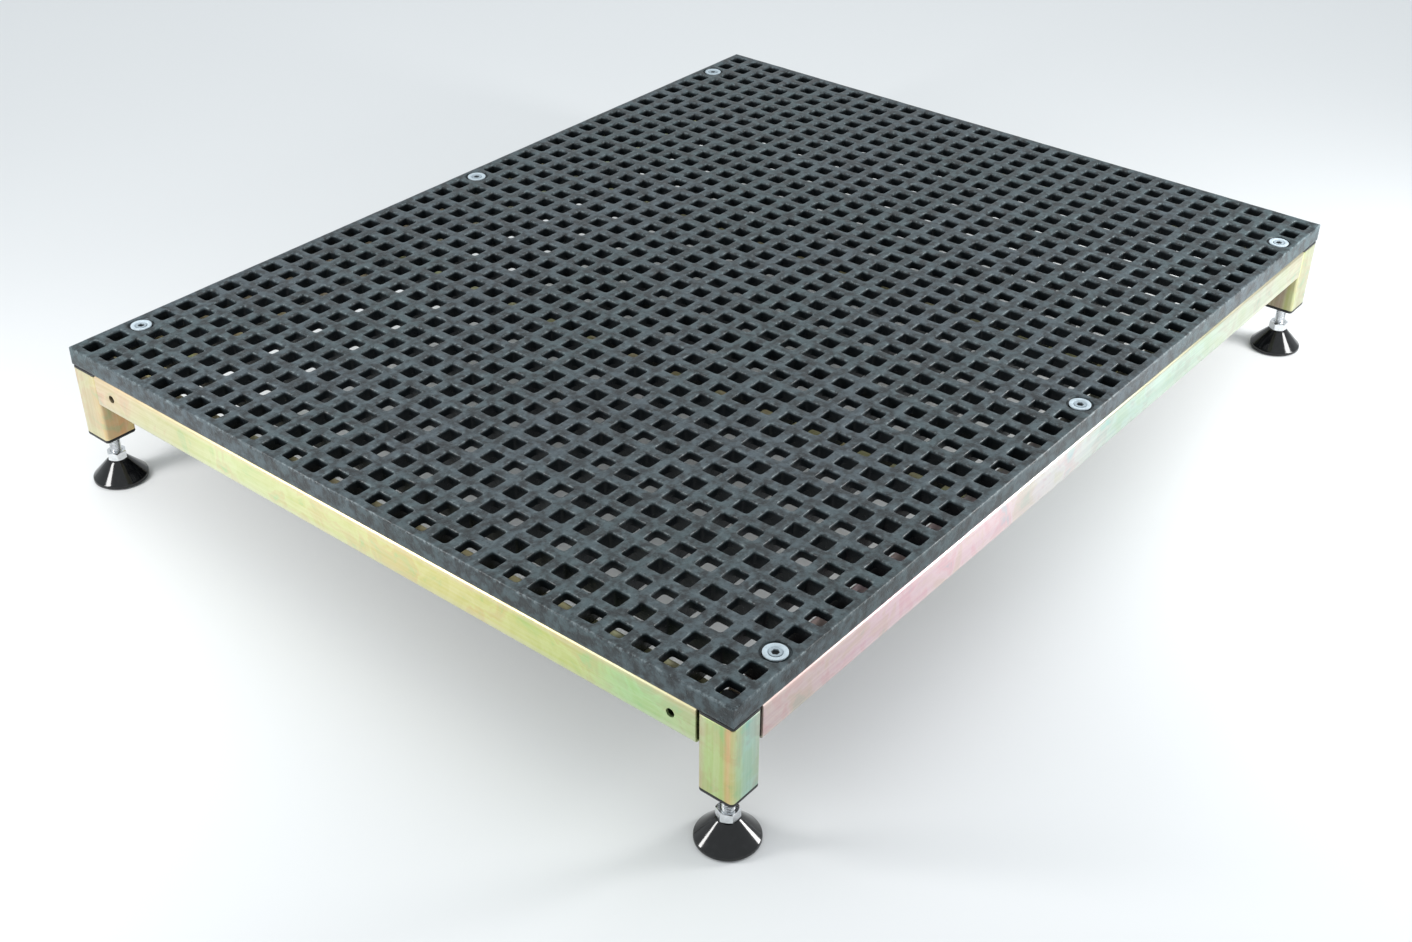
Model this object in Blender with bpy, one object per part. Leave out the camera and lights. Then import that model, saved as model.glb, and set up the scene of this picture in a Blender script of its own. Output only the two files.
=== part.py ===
"""Low standing platform: moulded grating on a welded tube frame with four screw feet.

Units are metres. +Z is up and the origin is on the floor under the middle of the platform.
+X runs along the long side and +Y along the short side. Front is -Y and left is -X.
Pieces that touch keep a gap of GAP between their surfaces.
"""
import math

import bmesh
import bpy

GAP = 0.0003

# Grating: a moulded mesh with deep bars on every second rib line
PITCH = 0.020
CELLS_LONG = 38
CELLS_SHORT = 30
EDGE_MARGIN = 0.0025
RIB_WIDTH = 0.0070
GRATING_THICKNESS = 0.0145
FINE_RIB_DEPTH = 0.0080
DECK_HEIGHT = 0.112

GRATING_LENGTH = CELLS_LONG * PITCH + 2 * EDGE_MARGIN
GRATING_WIDTH = CELLS_SHORT * PITCH + 2 * EDGE_MARGIN
GRATING_BOTTOM = DECK_HEIGHT - GRATING_THICKNESS
BAR_SPACING = 2 * PITCH

# Frame: square tube
TUBE = 0.025
TUBE_WALL = 0.0015
TUBE_CORNER = 0.0025
TUBE_INNER_CORNER = 0.0010
RAIL_TOP = GRATING_BOTTOM - GAP
RAIL_MIDDLE = RAIL_TOP - TUBE / 2
OPEN_JOINT = 0.0015
CROSS_MEMBER_X = {"left": -0.095, "right": 0.110}
VENT_RADIUS = 0.0030
VENT_FROM_LEG = 0.018

# Legs and their plugs
LEG_X = GRATING_LENGTH / 2 - TUBE / 2
LEG_Y = GRATING_WIDTH / 2 - TUBE / 2
CAP_FLANGE = 0.0015
CAP_DEPTH = 0.010
LEG_TOP = RAIL_TOP - CAP_FLANGE - GAP
LEG_BOTTOM = 0.0415
INSERT_FLANGE = 0.0022
INSERT_DEPTH = 0.016
INSERT_TOP = LEG_BOTTOM - GAP + INSERT_DEPTH
INSERT_BOTTOM = LEG_BOTTOM - GAP - INSERT_FLANGE
PLUG_HALF = TUBE / 2 - TUBE_WALL - GAP
PLUG_CORNER = 0.0008
PLUG_TAPER = 0.0006
PLUG_TAPER_LENGTH = 0.0010
CAP_EDGE = 0.0005
INSERT_EDGE = 0.0008
BUSH_OUTER = 0.0056
BUSH_SET_BACK = 0.0004

# Screw feet: M8 stud, hex nut fixed at its foot, round pad with a rubber sole
THREAD_RADIUS = 0.0040
THREAD_LENGTH = 0.040
THREAD_CHAMFER = 0.0010
BALL_RADIUS = 0.0039
BALL_MIDDLE = 0.0098
NECK_RADIUS = 0.0028
NECK_BOTTOM = BALL_MIDDLE + 0.0030
PAD_HEIGHT = 0.017
PAD_RADIUS = 0.020
PAD_TOP_RADIUS = 0.0078
PAD_RIM_TOP = 0.0034
PAD_RIM_BEVEL = 0.0012
PAD_TOP_BEVEL = 0.0010
PAD_LIP_DEPTH = 0.0025
SOLE_RADIUS = 0.0182
SOLE_THICKNESS = 0.0028
SOLE_BEVEL = 0.0006
PAD_RIM_BOTTOM = 0.0010
NUT_FLATS = 0.013
NUT_HEIGHT = 0.0065
NUT_CHAMFER = 0.0007
NUT_BOTTOM = PAD_HEIGHT + GAP
NUT_TOP = NUT_BOTTOM + NUT_HEIGHT
STUD_TOP = NUT_TOP + THREAD_LENGTH

# Deck fixings: screw and dished washer in a round seat, rivet nut in the rail
FIXING_X = (-0.330, 0.010, 0.330)
FIXING_Y = GRATING_WIDTH / 2 - TUBE / 2
SEAT_RADIUS = 0.0100
SEAT_DEPTH = 0.0016
WASHER_RADIUS = 0.0075
WASHER_THICKNESS = 0.0012
WASHER_DISH_DEPTH = 0.0023
WASHER_DISH_TOP = 0.0050
WASHER_DISH_OUTER = 0.0056
WASHER_BORE = 0.0029
SCREW_RADIUS = 0.0025
SCREW_TIP = 0.0005
SCREW_BOTTOM = RAIL_TOP - 0.0159
SCREW_HEAD_RADIUS = 0.0041
SCREW_HEAD_EDGE = 0.0003
SCREW_HEAD_SUNK = 0.0002
RIVET_BOTTOM = RAIL_TOP - 0.0137
RIVET_BORE = 0.0028
RIVET_BODY = 0.0034
RIVET_BULGE = 0.0046
RIVET_HOLE = 0.0037
RIVET_FLANGE_RADIUS = 0.0050
RIVET_FLANGE = 0.0008

CORNERS = {
    "front_left": (-LEG_X, -LEG_Y),
    "front_right": (LEG_X, -LEG_Y),
    "rear_left": (-LEG_X, LEG_Y),
    "rear_right": (LEG_X, LEG_Y),
}


def clear_scene():
    for old in list(bpy.data.objects):
        bpy.data.objects.remove(old, do_unlink=True)


def material(name, colour, roughness, metallic):
    made = bpy.data.materials.new(name)
    made.use_nodes = True
    shader = made.node_tree.nodes["Principled BSDF"]
    shader.inputs["Base Color"].default_value = (*colour, 1.0)
    shader.inputs["Roughness"].default_value = roughness
    shader.inputs["Metallic"].default_value = metallic
    return made


def make_object(name, mesh_builder, finish, location=(0, 0, 0), smooth=False):
    """A mesh object from a bmesh, with its faces pointing out."""
    bmesh.ops.recalc_face_normals(mesh_builder, faces=mesh_builder.faces)
    mesh = bpy.data.meshes.new(name)
    mesh_builder.to_mesh(mesh)
    mesh_builder.free()
    if smooth:
        mesh.shade_smooth()
        mesh.set_sharp_from_angle(angle=math.radians(40))
    mesh.materials.append(finish)
    made = bpy.data.objects.new(name, mesh)
    made.location = location
    bpy.context.scene.collection.objects.link(made)
    return made


def empty(name, location):
    holder = bpy.data.objects.new(name, None)
    holder.location = location
    bpy.context.scene.collection.objects.link(holder)
    return holder


def parent_to(holder, piece):
    """Parent a piece made at the holder's origin, so that it takes the holder's place."""
    piece.parent = holder


def square_loop(half, corner, steps, z):
    """Points of a rounded square at height z, anticlockwise from the +X side."""
    points = []
    for quarter in range(4):
        middle = math.pi / 2 * quarter + math.pi / 4
        centre_x = (half - corner) * math.copysign(1, math.cos(middle))
        centre_y = (half - corner) * math.copysign(1, math.sin(middle))
        for step in range(steps + 1):
            angle = math.pi / 2 * (quarter + step / steps)
            x = centre_x + corner * math.cos(angle)
            y = centre_y + corner * math.sin(angle)
            points.append((x, y, z))
    return points


def round_loop(radius, count, z, start=0.0):
    turns = [start + 2 * math.pi * index / count for index in range(count)]
    return [(radius * math.cos(turn), radius * math.sin(turn), z) for turn in turns]


def skin_loops(builder, loops, closed):
    """Join equal loops with quads. Closed joins the last to the first, else the ends are capped."""
    rings = [[builder.verts.new(point) for point in loop] for loop in loops]
    pairs = list(zip(rings, rings[1:]))
    if closed:
        pairs.append((rings[-1], rings[0]))
    for lower, upper in pairs:
        for index in range(len(lower)):
            after = (index + 1) % len(lower)
            builder.faces.new((lower[index], lower[after], upper[after], upper[index]))
    if not closed:
        builder.faces.new(rings[0])
        builder.faces.new(rings[-1])


def turned(name, profile, segments, finish, closed=False, location=(0, 0, 0)):
    """A round piece from (radius, height) points. A closed profile leaves a bore on the axis."""
    builder = bmesh.new()
    loops = [round_loop(radius, segments, height) for radius, height in profile]
    skin_loops(builder, loops, closed)
    return make_object(name, builder, finish, location, smooth=True)


def square_tube(name, length, finish, location, turn=(0, 0, 0)):
    """A square tube along local Z, open at both ends, centred on its middle."""
    steps = 2
    low, high = -length / 2, length / 2
    inner_half = TUBE / 2 - TUBE_WALL
    builder = bmesh.new()
    loops = [
        square_loop(TUBE / 2, TUBE_CORNER, steps, low),
        square_loop(TUBE / 2, TUBE_CORNER, steps, high),
        square_loop(inner_half, TUBE_INNER_CORNER, steps, high),
        square_loop(inner_half, TUBE_INNER_CORNER, steps, low),
    ]
    skin_loops(builder, loops, closed=True)
    tube = make_object(name, builder, finish, location, smooth=True)
    tube.rotation_euler = turn
    return tube


def cutter(name, builder):
    """A hidden solid that other pieces are cut or joined with."""
    shape = make_object(name, builder, cutter_finish)
    shape.hide_render = True
    shape.display_type = "WIRE"
    return shape


def add_boolean(piece, shape, operation):
    change = piece.modifiers.new(shape.name, "BOOLEAN")
    change.operation = operation
    change.solver = "EXACT"
    change.object = shape


def cylinder_between(builder, start, end, radius, count):
    """Add a capped cylinder from start to end, which differ along one axis only."""
    axis = [abs(b - a) > 1e-9 for a, b in zip(start, end)].index(True)
    rings = []
    for point in (start, end):
        ring = []
        for index in range(count):
            turn = 2 * math.pi * (index + 0.5) / count
            place = list(point)
            place[(axis + 1) % 3] += radius * math.cos(turn)
            place[(axis + 2) % 3] += radius * math.sin(turn)
            ring.append(builder.verts.new(place))
        rings.append(ring)
    for index in range(count):
        after = (index + 1) % count
        builder.faces.new((rings[0][index], rings[0][after], rings[1][after], rings[1][index]))
    builder.faces.new(rings[0])
    builder.faces.new(rings[1])


def rib_edges(bar_count, half_length):
    """Where bars start and stop along one direction: low edge, high edge, low edge and so on."""
    edges = []
    for index in range(bar_count + 1):
        line = -half_length + EDGE_MARGIN + index * BAR_SPACING
        edges.append(line - RIB_WIDTH / 2)
        edges.append(line + RIB_WIDTH / 2)
    edges[0] = -half_length
    edges[-1] = half_length
    return edges


def make_grating(finish):
    """The deep bars as one lattice, with fine cross ribs and round seats at the fixings."""
    xs = rib_edges(CELLS_LONG // 2, GRATING_LENGTH / 2)
    ys = rib_edges(CELLS_SHORT // 2, GRATING_WIDTH / 2)
    builder = bmesh.new()
    layers = []
    for z in (GRATING_BOTTOM, DECK_HEIGHT):
        layers.append([[builder.verts.new((x, y, z)) for y in ys] for x in xs])
    last_x, last_y = len(xs) - 1, len(ys) - 1

    def is_hole(i, j):
        return i % 2 == 1 and j % 2 == 1

    for i in range(last_x):
        for j in range(last_y):
            if is_hole(i, j):
                around = [(i, j), (i + 1, j), (i + 1, j + 1), (i, j + 1)]
                for (ia, ja), (ib, jb) in zip(around, around[1:] + around[:1]):
                    low_a, low_b = layers[0][ia][ja], layers[0][ib][jb]
                    high_a, high_b = layers[1][ia][ja], layers[1][ib][jb]
                    builder.faces.new((low_a, low_b, high_b, high_a))
                continue
            for layer in layers:
                builder.faces.new((layer[i][j], layer[i + 1][j], layer[i + 1][j + 1], layer[i][j + 1]))
    for i in range(last_x):
        for j in (0, last_y):
            low, high = layers
            builder.faces.new((low[i][j], low[i + 1][j], high[i + 1][j], high[i][j]))
    for j in range(last_y):
        for i in (0, last_x):
            low, high = layers
            builder.faces.new((low[i][j], low[i][j + 1], high[i][j + 1], high[i][j]))
    grating = make_object("grating", builder, finish)

    ribs = bmesh.new()
    for x, y in fixing_places():
        add_fine_ribs(ribs, x, y)
    add_boolean(grating, cutter("fixing_ribs", ribs), "UNION")
    seats = bmesh.new()
    for x, y in fixing_places():
        top = (x, y, DECK_HEIGHT + 0.001)
        cylinder_between(seats, (x, y, DECK_HEIGHT - SEAT_DEPTH), top, SEAT_RADIUS, 16)
    add_boolean(grating, cutter("fixing_seats", seats), "DIFFERENCE")
    return grating


def add_fine_ribs(builder, x, y):
    """The cross of fine ribs in the deep cell that holds the fixing at (x, y)."""
    cell_x = math.floor((x + GRATING_LENGTH / 2 - EDGE_MARGIN) / BAR_SPACING)
    cell_y = math.floor((y + GRATING_WIDTH / 2 - EDGE_MARGIN) / BAR_SPACING)
    middle_x = -GRATING_LENGTH / 2 + EDGE_MARGIN + (cell_x + 0.5) * BAR_SPACING
    middle_y = -GRATING_WIDTH / 2 + EDGE_MARGIN + (cell_y + 0.5) * BAR_SPACING
    arm = (BAR_SPACING - RIB_WIDTH) / 2 + 0.001
    half = RIB_WIDTH / 2
    low, high = DECK_HEIGHT - FINE_RIB_DEPTH, DECK_HEIGHT
    outline = [
        (half, -arm), (half, -half), (arm, -half), (arm, half), (half, half), (half, arm),
        (-half, arm), (-half, half), (-arm, half), (-arm, -half), (-half, -half), (-half, -arm),
    ]
    rings = []
    for z in (low, high):
        rings.append([builder.verts.new((middle_x + dx, middle_y + dy, z)) for dx, dy in outline])
    for index in range(len(outline)):
        after = (index + 1) % len(outline)
        builder.faces.new((rings[0][index], rings[0][after], rings[1][after], rings[1][index]))
    builder.faces.new(rings[0])
    builder.faces.new(rings[1])


def fixing_places():
    return [(x, y) for y in (-FIXING_Y, FIXING_Y) for x in FIXING_X]


def make_rails(finish):
    """Outer rails between the legs. One end of each rail has the wider, open joint."""
    inner_x = LEG_X - TUBE / 2
    inner_y = LEG_Y - TUBE / 2
    long_length = 2 * inner_x - GAP - OPEN_JOINT
    short_length = 2 * inner_y - GAP - OPEN_JOINT
    shift = (OPEN_JOINT - GAP) / 2
    along_x = (0, math.pi / 2, 0)
    along_y = (math.pi / 2, 0, 0)
    front = square_tube("front_rail", long_length, finish, (shift, -LEG_Y, RAIL_MIDDLE), along_x)
    rear = square_tube("rear_rail", long_length, finish, (-shift, LEG_Y, RAIL_MIDDLE), along_x)
    left = square_tube("left_rail", short_length, finish, (-LEG_X, shift, RAIL_MIDDLE), along_y)
    right = square_tube("right_rail", short_length, finish, (LEG_X, -shift, RAIL_MIDDLE), along_y)

    for rail, side in ((front, -1), (rear, 1)):
        holes = bmesh.new()
        for x in FIXING_X:
            low = (x, side * FIXING_Y, RAIL_MIDDLE)
            high = (x, side * FIXING_Y, RAIL_TOP + 0.002)
            cylinder_between(holes, low, high, RIVET_HOLE, 12)
        add_boolean(rail, cutter(rail.name + "_rivet_holes", holes), "DIFFERENCE")
    for rail, side in ((left, -1), (right, 1)):
        holes = bmesh.new()
        for end in (-1, 1):
            y = end * (inner_y - VENT_FROM_LEG)
            start = (side * LEG_X, y, RAIL_MIDDLE)
            stop = (side * (LEG_X + TUBE / 2 + 0.002), y, RAIL_MIDDLE)
            cylinder_between(holes, start, stop, VENT_RADIUS, 12)
        add_boolean(rail, cutter(rail.name + "_vent_holes", holes), "DIFFERENCE")

    cross_length = 2 * (inner_y - GAP)
    for side, x in CROSS_MEMBER_X.items():
        square_tube("cross_member_" + side, cross_length, finish, (x, 0, RAIL_MIDDLE), along_y)


def make_leg(corner, x, y):
    middle = (LEG_TOP + LEG_BOTTOM) / 2
    square_tube("leg_" + corner, LEG_TOP - LEG_BOTTOM, zinc_yellow, (x, y, middle))

    cap = bmesh.new()
    flange_bottom = RAIL_TOP - CAP_FLANGE
    cap_bottom = flange_bottom - CAP_DEPTH
    steps = 2
    skin_loops(cap, [
        square_loop(PLUG_HALF - PLUG_TAPER, PLUG_CORNER, steps, cap_bottom),
        square_loop(PLUG_HALF, PLUG_CORNER, steps, cap_bottom + PLUG_TAPER_LENGTH),
        square_loop(PLUG_HALF, PLUG_CORNER, steps, flange_bottom),
        square_loop(TUBE / 2, TUBE_CORNER, steps, flange_bottom),
        square_loop(TUBE / 2, TUBE_CORNER, steps, RAIL_TOP - CAP_EDGE),
        square_loop(TUBE / 2 - CAP_EDGE, TUBE_CORNER, steps, RAIL_TOP),
    ], closed=False)
    make_object("leg_cap_" + corner, cap, black_plastic, (x, y, 0))

    insert = bmesh.new()
    steps = 3
    count = 4 * (steps + 1)
    bore = BUSH_OUTER + GAP
    start = math.pi / count
    skin_loops(insert, [
        round_loop(bore, count, INSERT_TOP, start),
        square_loop(PLUG_HALF - PLUG_TAPER, PLUG_CORNER, steps, INSERT_TOP),
        square_loop(PLUG_HALF, PLUG_CORNER, steps, INSERT_TOP - PLUG_TAPER_LENGTH),
        square_loop(PLUG_HALF, PLUG_CORNER, steps, LEG_BOTTOM - GAP),
        square_loop(TUBE / 2, TUBE_CORNER, steps, LEG_BOTTOM - GAP),
        square_loop(TUBE / 2, TUBE_CORNER, steps, INSERT_BOTTOM + INSERT_EDGE),
        square_loop(TUBE / 2 - INSERT_EDGE, TUBE_CORNER, steps, INSERT_BOTTOM),
        round_loop(bore, count, INSERT_BOTTOM, start),
    ], closed=True)
    make_object("leg_insert_" + corner, insert, black_plastic, (x, y, 0))

    bush_low, bush_high = INSERT_BOTTOM + BUSH_SET_BACK, INSERT_TOP - BUSH_SET_BACK
    bush_bore = THREAD_RADIUS + GAP
    turned("thread_bush_" + corner, [
        (bush_bore, bush_low), (BUSH_OUTER, bush_low),
        (BUSH_OUTER, bush_high), (bush_bore, bush_high),
    ], 16, brass, closed=True, location=(x, y, 0))


def make_foot(corner, x, y):
    """One screw foot. The empty marks the thread axis that the foot slides and turns on."""
    axis = empty("foot_axis_" + corner, (x, y, 0))
    segments = 24
    point = 0.0002
    socket = BALL_RADIUS + GAP
    socket_bottom = BALL_MIDDLE - socket
    lip = NECK_RADIUS + GAP
    recess_top = SOLE_THICKNESS + GAP
    recess_radius = SOLE_RADIUS + GAP
    pad = turned("foot_pad_" + corner, [
        (point, recess_top), (recess_radius, recess_top), (recess_radius, PAD_RIM_BOTTOM),
        (PAD_RADIUS, PAD_RIM_BOTTOM), (PAD_RADIUS, PAD_RIM_TOP),
        (PAD_RADIUS - PAD_RIM_BEVEL, PAD_RIM_TOP + PAD_RIM_BEVEL),
        (PAD_TOP_RADIUS, PAD_HEIGHT - PAD_TOP_BEVEL),
        (PAD_TOP_RADIUS - 0.8 * PAD_TOP_BEVEL, PAD_HEIGHT),
        (lip + 0.7 * PAD_TOP_BEVEL, PAD_HEIGHT), (lip, PAD_HEIGHT - PAD_LIP_DEPTH),
        (socket, BALL_MIDDLE), (socket, socket_bottom), (point, socket_bottom),
    ], segments, black_gloss)
    sole = turned("foot_sole_" + corner, [
        (SOLE_RADIUS - SOLE_BEVEL, 0), (SOLE_RADIUS, SOLE_BEVEL), (SOLE_RADIUS, SOLE_THICKNESS),
    ], segments, rubber)
    stud = turned("foot_stud_" + corner, [
        (BALL_RADIUS * 0.5, BALL_MIDDLE - BALL_RADIUS * 0.87), (BALL_RADIUS, BALL_MIDDLE),
        (NECK_RADIUS, NECK_BOTTOM), (NECK_RADIUS, PAD_HEIGHT - 0.4 * THREAD_CHAMFER),
        (THREAD_RADIUS, PAD_HEIGHT + THREAD_CHAMFER), (THREAD_RADIUS, STUD_TOP - THREAD_CHAMFER),
        (THREAD_RADIUS - THREAD_CHAMFER, STUD_TOP),
    ], 16, zinc_bright)
    nut = make_nut("foot_nut_" + corner)
    for piece in (pad, sole, stud, nut):
        parent_to(axis, piece)


def make_nut(name):
    """A hex nut with chamfered corners and a plain bore."""
    corner_radius = NUT_FLATS / 2 / math.cos(math.pi / 6)
    bore = THREAD_RADIUS + GAP
    count = 12

    def hexagon(height, scale):
        loop = []
        for index in range(count):
            turn = 2 * math.pi * index / count
            radius = corner_radius if index % 2 == 0 else NUT_FLATS / 2
            radius = min(radius, NUT_FLATS / 2 * scale)
            loop.append((radius * math.cos(turn), radius * math.sin(turn), height))
        return loop

    builder = bmesh.new()
    skin_loops(builder, [
        round_loop(bore, count, NUT_BOTTOM), hexagon(NUT_BOTTOM, 1.0),
        hexagon(NUT_BOTTOM + NUT_CHAMFER, 2.0), hexagon(NUT_TOP - NUT_CHAMFER, 2.0),
        hexagon(NUT_TOP, 1.0), round_loop(bore, count, NUT_TOP),
    ], closed=True)
    return make_object(name, builder, zinc_bright)


def make_fixing(number, x, y):
    """One deck fixing: countersunk screw, dished washer and the rivet nut in the rail."""
    washer_low = DECK_HEIGHT - SEAT_DEPTH + GAP
    washer_high = washer_low + WASHER_THICKNESS
    cone_low = washer_high - WASHER_DISH_DEPTH
    dish_bottom = cone_low - 0.0014
    turned(f"deck_washer_{number}", [
        (WASHER_BORE, cone_low), (WASHER_DISH_TOP, washer_high), (WASHER_RADIUS, washer_high),
        (WASHER_RADIUS, washer_low), (WASHER_DISH_OUTER, washer_low), (WASHER_BORE, dish_bottom),
    ], 16, zinc_bright, closed=True, location=(x, y, 0))
    head_top = washer_high - SCREW_HEAD_SUNK
    turned(f"deck_screw_{number}", [
        (SCREW_RADIUS - SCREW_TIP, SCREW_BOTTOM), (SCREW_RADIUS, SCREW_BOTTOM + SCREW_TIP),
        (SCREW_RADIUS, cone_low), (SCREW_HEAD_RADIUS, head_top - SCREW_HEAD_EDGE),
        (SCREW_HEAD_RADIUS, head_top),
    ], 12, zinc_bright, location=(x, y, 0))
    flange_high = GRATING_BOTTOM + RIVET_FLANGE
    bulge_high = RAIL_TOP - TUBE_WALL - GAP
    bulge_low = bulge_high - 0.0006
    turned(f"rivet_nut_{number}", [
        (RIVET_BORE, RIVET_BOTTOM), (RIVET_BODY, RIVET_BOTTOM), (RIVET_BULGE, bulge_low),
        (RIVET_BODY, bulge_high), (RIVET_BODY, GRATING_BOTTOM), (RIVET_FLANGE_RADIUS, GRATING_BOTTOM),
        (RIVET_FLANGE_RADIUS, flange_high), (RIVET_BORE, flange_high),
    ], 12, steel, closed=True, location=(x, y, 0))


clear_scene()
cutter_finish = material("cutter", (0.5, 0.5, 0.5), 0.5, 0.0)
grating_grey = material("grating_grey", (0.045, 0.050, 0.057), 0.62, 0.0)
zinc_yellow = material("zinc_yellow", (0.66, 0.66, 0.40), 0.32, 0.85)
zinc_bright = material("zinc_bright", (0.72, 0.74, 0.76), 0.28, 1.0)
steel = material("steel", (0.55, 0.55, 0.56), 0.40, 1.0)
brass = material("brass", (0.72, 0.56, 0.28), 0.35, 1.0)
black_plastic = material("black_plastic", (0.016, 0.016, 0.017), 0.45, 0.0)
black_gloss = material("black_gloss", (0.010, 0.010, 0.011), 0.12, 0.0)
rubber = material("rubber", (0.030, 0.030, 0.031), 0.80, 0.0)

make_grating(grating_grey)
make_rails(zinc_yellow)
for corner_name, (corner_x, corner_y) in CORNERS.items():
    make_leg(corner_name, corner_x, corner_y)
    make_foot(corner_name, corner_x, corner_y)
for fixing_number, (fixing_x, fixing_y) in enumerate(fixing_places(), start=1):
    make_fixing(fixing_number, fixing_x, fixing_y)
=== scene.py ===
import math

import bmesh
import bpy
from mathutils import Matrix, Vector, noise


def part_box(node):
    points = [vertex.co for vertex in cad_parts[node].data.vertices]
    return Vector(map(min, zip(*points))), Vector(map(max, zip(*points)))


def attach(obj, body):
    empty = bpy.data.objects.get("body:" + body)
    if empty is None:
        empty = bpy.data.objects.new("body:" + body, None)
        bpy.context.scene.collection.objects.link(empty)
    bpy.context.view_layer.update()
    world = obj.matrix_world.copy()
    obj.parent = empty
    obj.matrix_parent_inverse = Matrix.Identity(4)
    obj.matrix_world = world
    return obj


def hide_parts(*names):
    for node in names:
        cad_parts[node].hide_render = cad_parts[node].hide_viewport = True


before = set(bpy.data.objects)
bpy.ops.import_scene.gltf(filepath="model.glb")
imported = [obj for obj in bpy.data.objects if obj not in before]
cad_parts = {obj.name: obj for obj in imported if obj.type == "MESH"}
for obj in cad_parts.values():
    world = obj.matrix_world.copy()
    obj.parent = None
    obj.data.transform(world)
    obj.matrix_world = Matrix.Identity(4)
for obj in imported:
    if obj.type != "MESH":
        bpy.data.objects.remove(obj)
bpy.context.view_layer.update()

MM = 0.001
GAP = 0.3 * MM
CORNERS = ("front_left", "front_right", "rear_left", "rear_right")
FIXINGS = range(1, 7)

CELL = 20 * MM
GRATING_LOW, GRATING_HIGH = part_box("grating")
DECK = GRATING_HIGH.z
THICKNESS = DECK - GRATING_LOW.z
CELLS_LONG = round((GRATING_HIGH.x - GRATING_LOW.x) / CELL)
CELLS_SHORT = round((GRATING_HIGH.y - GRATING_LOW.y) / CELL)
EDGE_MARGIN = (GRATING_HIGH.x - GRATING_LOW.x - CELLS_LONG * CELL) / 2
RAIL_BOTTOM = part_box("front_rail")[0].z
RAIL_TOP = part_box("front_rail")[1].z
SCREW_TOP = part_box("deck_screw_1")[1].z


# Node helpers

class Nodes:
    """Adds and links shader nodes in one material, with short calls."""

    def __init__(self, name):
        self.material = bpy.data.materials.new(name)
        self.material.use_nodes = True
        self.tree = self.material.node_tree
        self.shader = self.tree.nodes["Principled BSDF"]

    def add(self, kind, inputs=None, **settings):
        node = self.tree.nodes.new(kind)
        for key, value in settings.items():
            setattr(node, key, value)
        for key, value in (inputs or {}).items():
            self.put(node.inputs[key], value)
        return node

    def put(self, socket, value):
        if isinstance(value, bpy.types.NodeSocket):
            self.tree.links.new(value, socket)
        elif isinstance(value, tuple) and len(value) == 3 and socket.type == "RGBA":
            socket.default_value = (*value, 1.0)
        else:
            socket.default_value = value

    def set(self, **inputs):
        for key, value in inputs.items():
            self.put(self.shader.inputs[key.replace("_", " ")], value)

    def place(self):
        return self.add("ShaderNodeTexCoord").outputs["Object"]

    def scaled(self, vector, scale):
        return self.add("ShaderNodeMapping", {"Vector": vector, "Scale": scale}).outputs["Vector"]

    def noise(self, vector, scale, detail=3.0, roughness=0.5, distortion=0.0):
        return self.add("ShaderNodeTexNoise", {
            "Vector": vector, "Scale": scale, "Detail": detail,
            "Roughness": roughness, "Distortion": distortion}).outputs["Fac"]

    def axis(self, vector, name):
        return self.add("ShaderNodeSeparateXYZ", {"Vector": vector}).outputs[name]

    def remap(self, value, low, high, to_low=0.0, to_high=1.0, smooth=False):
        kind = "SMOOTHSTEP" if smooth else "LINEAR"
        return self.add("ShaderNodeMapRange", {
            "Value": value, "From Min": low, "From Max": high,
            "To Min": to_low, "To Max": to_high}, interpolation_type=kind).outputs["Result"]

    def math(self, operation, first, second=0.5):
        return self.add("ShaderNodeMath", {0: first, 1: second}, operation=operation).outputs["Value"]

    def ramp(self, value, stops, smooth=True):
        """A colour ramp from (position, colour) stops."""
        made = self.add("ShaderNodeValToRGB", {"Fac": value})
        ramp = made.color_ramp
        ramp.interpolation = "EASE" if smooth else "LINEAR"
        while len(ramp.elements) < len(stops):
            ramp.elements.new(0.5)
        for element, (position, colour) in zip(ramp.elements, stops):
            element.position = position
            element.color = (*colour, 1.0)
        return made.outputs["Color"]

    def mix(self, amount, first, second, blend="MIX"):
        made = self.add("ShaderNodeMix", data_type="RGBA", blend_type=blend)
        self.put(made.inputs[0], amount)
        self.put(made.inputs[6], first)
        self.put(made.inputs[7], second)
        return made.outputs[2]

    def bump(self, height, strength, distance, after=None):
        inputs = {"Height": height, "Strength": strength, "Distance": distance}
        if after is not None:
            inputs["Normal"] = after
        return self.add("ShaderNodeBump", inputs).outputs["Normal"]


def display(red, green, blue):
    """A linear colour from 0 to 255 display values."""
    def linear(value):
        share = value / 255
        return share / 12.92 if share <= 0.04045 else ((share + 0.055) / 1.055) ** 2.4
    return (linear(red), linear(green), linear(blue))


# Materials

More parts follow.
